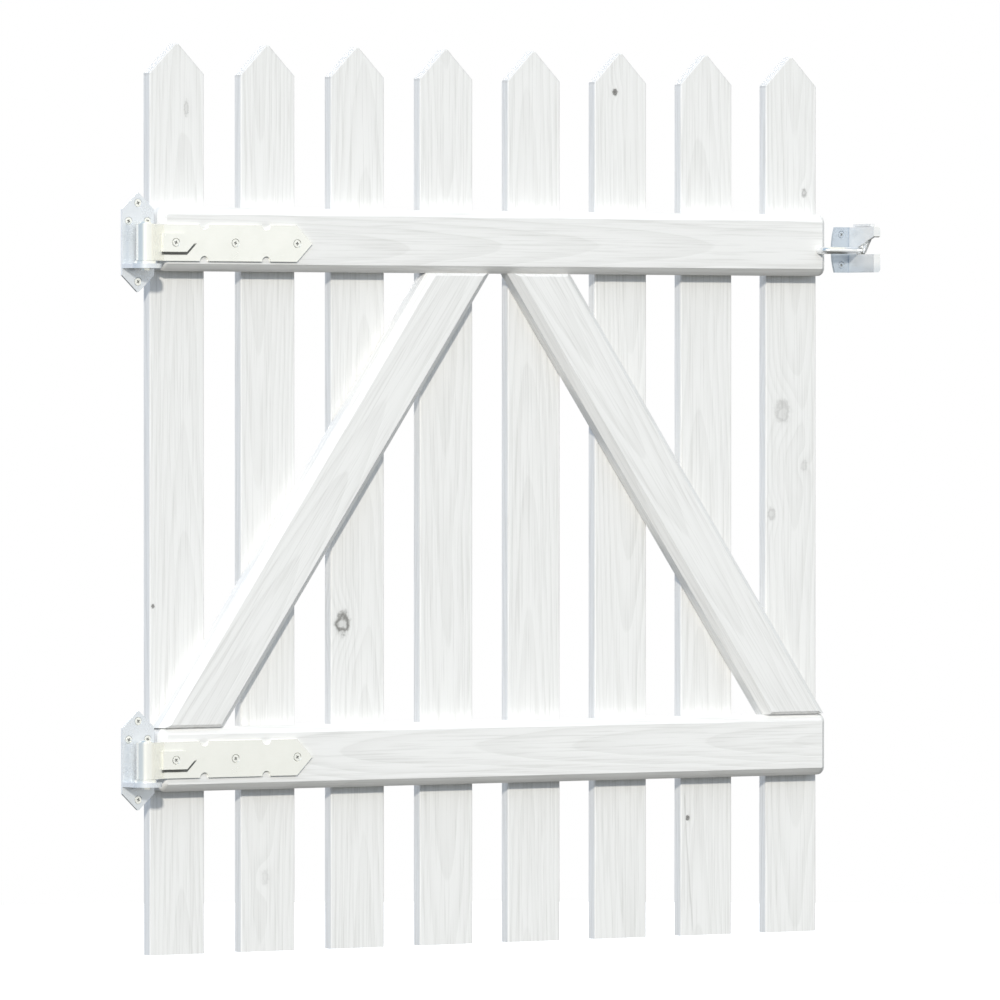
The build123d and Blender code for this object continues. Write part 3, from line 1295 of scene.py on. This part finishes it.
@dataclass
class Studio:
    """White floor, soft light and the camera of the photograph."""

    yaw: float = math.radians(33.0)
    distance: float = 10.5063
    focal_pixels: float = 9608.0
    centre_across: float = 0.3748
    eye_height: float = 0.622
    horizon_row: float = 388.0
    image_size: float = 1000.0
    sensor: float = 36.0
    clip_end: float = 100.0

    floor_gap: float = 0.07
    floor_radius: float = 2.2
    floor_sides: int = 96
    floor_noise: Noise = Noise(3.0, 2.0)
    floor_grey: Colour = (0.9, 0.9, 0.9, 1.0)
    floor_pale: Colour = (0.93, 0.93, 0.93, 1.0)
    floor_roughness: float = 0.8
    floor_glow: float = 0.5

    ground: Colour = (0.195, 0.20, 0.19, 1.0)
    horizon: Colour = (0.50, 0.575, 0.66, 1.0)
    cool_side: Colour = (0.47, 0.63, 0.91, 1.0)
    zenith: Colour = (0.88, 0.93, 1.0, 1.0)
    cool_span: Span = (0.3, -0.7)
    skyline_span: Span = (-0.06, 0.06)

    mirror_front: Colour = (1.06, 1.07, 1.03, 1.0)
    mirror_left: Colour = (0.31, 0.45, 0.60, 1.0)
    mirror_right: Colour = (1.08, 1.06, 0.92, 1.0)
    mirror_back: Colour = (1.36, 1.34, 1.34, 1.0)
    mirror_ground: Colour = (0.62, 0.62, 0.59, 1.0)
    mirror_deep: Colour = (0.09, 0.09, 0.08, 1.0)
    right_span: Span = (-0.2, 0.2)
    back_span: Span = (0.45, 0.88)
    front_span: Span = (-0.35, -0.75)
    deep_span: Span = (-0.65, -0.12)
    wall_span: Span = (-0.14, 0.05)

    key_energy: float = 2.15
    key_colour: Point = (1.0, 0.955, 0.86)
    key_ray: Point = (0.53, 0.83, -0.42)
    key_spread: float = math.radians(3.5)
    fill_energy: float = 1.35
    fill_colour: Point = (1.0, 0.96, 0.90)
    fill_ray: Point = (-0.30, -0.88, -0.30)
    fill_spread: float = math.radians(20.0)

    def camera(self) -> None:
        """Camera to the left of the gate, far away, with a long lens."""
        data = bpy.data.cameras.new("photo_camera")
        data.sensor_width = self.sensor
        data.lens = self.focal_pixels * self.sensor / self.image_size
        data.clip_end = self.clip_end
        right = Vector((math.cos(self.yaw), -math.sin(self.yaw), 0.0))
        ahead = Vector((math.sin(self.yaw), math.cos(self.yaw), 0.0))
        corner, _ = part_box("picket_1")
        place = right * self.centre_across - ahead * self.distance
        place.x += corner.x
        place.z = corner.z + self.eye_height
        dip = math.atan((self.image_size / 2 - self.horizon_row) / self.focal_pixels)
        look = ahead * math.cos(dip) - Vector((0.0, 0.0, 1.0)) * math.sin(dip)
        eye = bpy.data.objects.new("photo_camera", data)
        bpy.context.scene.collection.objects.link(eye)
        turn = look.to_track_quat("-Z", "Y").to_matrix().to_4x4()
        eye.matrix_world = Matrix.Translation(place) @ turn
        bpy.context.scene.camera = eye

    def floor(self) -> None:
        """Round white floor a little below the pickets, which throws no light back on the gate."""
        low, high = CAD_BOX
        centre = (low + high) / 2
        turn = 2 * math.pi / self.floor_sides
        rim = [
            (
                centre.x + self.floor_radius * math.cos(turn * step),
                centre.y + self.floor_radius * math.sin(turn * step),
                low.z - self.floor_gap,
            )
            for step in range(self.floor_sides)
        ]
        mesh = bpy.data.meshes.new("floor")
        mesh.from_pydata(rim, [], [tuple(range(self.floor_sides))])
        graph = Graph("pale_floor")
        uneven = graph.noise(graph.placed(ORIGIN), self.floor_noise)
        sockets = {
            "Base Color": graph.mix(uneven, self.floor_grey, self.floor_pale),
            "Roughness": self.floor_roughness,
            "Emission Color": PURE_WHITE,
            "Emission Strength": self.floor_glow,
        }
        mesh.materials.append(graph.surface(sockets))
        floor = bpy.data.objects.new("floor", mesh)
        bpy.context.scene.collection.objects.link(floor)
        floor.visible_diffuse = False
        floor.visible_glossy = False

    def world(self) -> None:
        """White for the camera, a cool sky over dark ground for the paint, pale walls for the metal."""
        world = bpy.data.worlds.new("studio")
        bpy.context.scene.world = world
        world.use_nodes = True
        graph = Graph.within(world.node_tree)
        coords = graph.node("ShaderNodeTexCoord", output="Object")
        across, away, height = graph.parts(coords)
        low = graph.mix(across.step(*self.cool_span), self.horizon, self.cool_side)
        sky = graph.mix(height.most(0.0), low, self.zenith)
        dome = graph.mix(height.step(*self.skyline_span), self.ground, sky)
        sides = graph.mix(across.step(*self.right_span), self.mirror_left, self.mirror_right)
        walls = graph.mix(away.step(*self.back_span), sides, self.mirror_back)
        walls = graph.mix(away.step(*self.front_span), walls, self.mirror_front)
        under = graph.mix(height.step(*self.deep_span), self.mirror_deep, self.mirror_ground)
        mirrored = graph.mix(height.step(*self.wall_span), under, walls)
        glossy = graph.node("ShaderNodeLightPath", output="Is Glossy Ray")
        seen = graph.node("ShaderNodeLightPath", output="Is Camera Ray")
        colour = graph.mix(seen, graph.mix(glossy, dome, mirrored), PURE_WHITE)
        light = graph.node("ShaderNodeBackground", None, {"Color": colour, "Strength": 1.0})
        result = graph.tree.nodes.new("ShaderNodeOutputWorld")
        graph.tree.links.new(light.socket, result.inputs["Surface"])

    def lamp(self, name: str, energy: float, colour: Point, ray: Point, spread: float) -> None:
        """Add one distant light.

        Args:
            name: Name of the lamp.
            energy: Strength.
            colour: Tint.
            ray: Direction that the light travels in.
            spread: Angle that the lamp fills, which softens its shadows.
        """
        data = bpy.data.lights.new(name, "SUN")
        data.energy = energy
        data.angle = spread
        data.color = colour
        lamp = bpy.data.objects.new(name, data)
        bpy.context.scene.collection.objects.link(lamp)
        lamp.rotation_mode = "QUATERNION"
        lamp.rotation_quaternion = Vector(ray).to_track_quat("-Z", "Y")

    def build(self) -> None:
        """Set up the whole studio."""
        self.camera()
        self.floor()
        self.world()
        self.lamp("key", self.key_energy, self.key_colour, self.key_ray, self.key_spread)
        self.lamp("back_fill", self.fill_energy, self.fill_colour, self.fill_ray, self.fill_spread)
        bpy.context.scene.view_settings.view_transform = "Standard"


def main() -> None:
    """Dress the gate, set the screws and light the scene."""
    logging.basicConfig(level=logging.INFO, format="%(name)s: %(message)s")
    TimberLeaf().dress()
    Ironwork().dress(ScrewTree())
    Studio().build()


if __name__ == "__main__":
    main()
